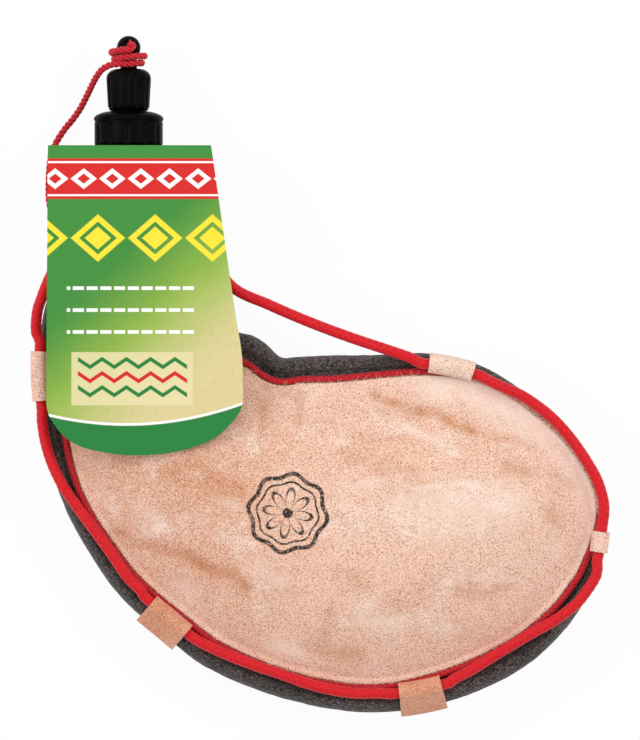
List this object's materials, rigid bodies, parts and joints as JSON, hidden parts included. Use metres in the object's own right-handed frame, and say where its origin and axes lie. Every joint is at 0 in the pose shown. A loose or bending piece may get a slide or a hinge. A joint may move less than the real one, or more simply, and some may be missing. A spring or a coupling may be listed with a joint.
{
  "type": "leather bota bag",
  "caption": "Curved flat leather wine bag with a felt edge, a strap through leather loops, a screw spout with a tethered cap and a folded card tag.",
  "frame": {"origin": "centre of the flat on which the back panel rests, at the resting plane", "axes": "+X to the right of the bag seen from its front, +Y towards the spout, +Z out of the front panel, up from the resting plane"},
  "size_m": [0.2552, 0.3002, 0.0442],
  "materials": {
    "suede": "matte",
    "felt": "matte",
    "lining": "satin",
    "crimson_cord": "matte",
    "red_braid": "matte",
    "black_plastic": "gloss",
    "seal_rubber": "matte",
    "tag_card": "satin"
  },
  "bodies": {
    "bag": {"front_panel": "suede", "back_panel": "suede", "felt_edge": "felt", "lining_bag": "lining", "front_piping": "crimson_cord", "back_piping": "crimson_cord", "strap_loop_left": "suede", "strap_loop_lower_left": "suede", "strap_loop_bottom": "suede", "strap_loop_right": "suede", "strap_loop_upper_right": "suede", "shoulder_strap": "red_braid", "strap_neck_binding": "red_braid", "cap_tether": "crimson_cord", "tether_neck_binding": "crimson_cord", "neck_ferrule": "black_plastic", "tag_flap": "tag_card"},
    "collar_travel": {"collar_gasket": "seal_rubber"},
    "collar": {"spout_collar": "black_plastic"},
    "cap_travel": {"cap_seal": "seal_rubber"},
    "cap": {"small_cap": "black_plastic"},
    "knot": {"tether_cap_knot": "crimson_cord"},
    "tag_leaf": {"tag_leaf": "tag_card"}
  },
  "joints": [
    {"name": "collar_lift", "type": "slide", "parent": "bag", "child": "collar_travel", "axis": [0, 1, 0], "range_m": [0, 0.012]},
    {"name": "collar_turn", "type": "hinge", "parent": "collar_travel", "child": "collar", "pos_m": [-0.0801, 0.17, 0.0205], "axis": [0, 1, 0], "range_deg": [0, 1800]},
    {"name": "cap_lift", "type": "slide", "parent": "collar", "child": "cap_travel", "axis": [0, 1, 0], "range_m": [0, 0.01]},
    {"name": "cap_turn", "type": "hinge", "parent": "cap_travel", "child": "cap", "pos_m": [-0.0801, 0.19, 0.0205], "axis": [0, 1, 0], "range_deg": [0, 1800]},
    {"name": "knot_lift", "type": "slide", "parent": "collar_travel", "child": "knot", "axis": [0, 1, 0], "range_m": [0, 0.01]},
    {"name": "tag_fold", "type": "hinge", "parent": "bag", "child": "tag_leaf", "pos_m": [-0.0801, 0.16435, 0.0406], "axis": [-1, 0, 0], "range_deg": [0, 120]}
  ],
  "couplings": [
    {"joint": "collar_lift", "follows": "collar_turn", "m_per_rad": 0.00038},
    {"joint": "cap_lift", "follows": "cap_turn", "m_per_rad": 0.000318},
    {"joint": "knot_lift", "follows": "cap_turn", "m_per_rad": 0.000318}
  ]
}
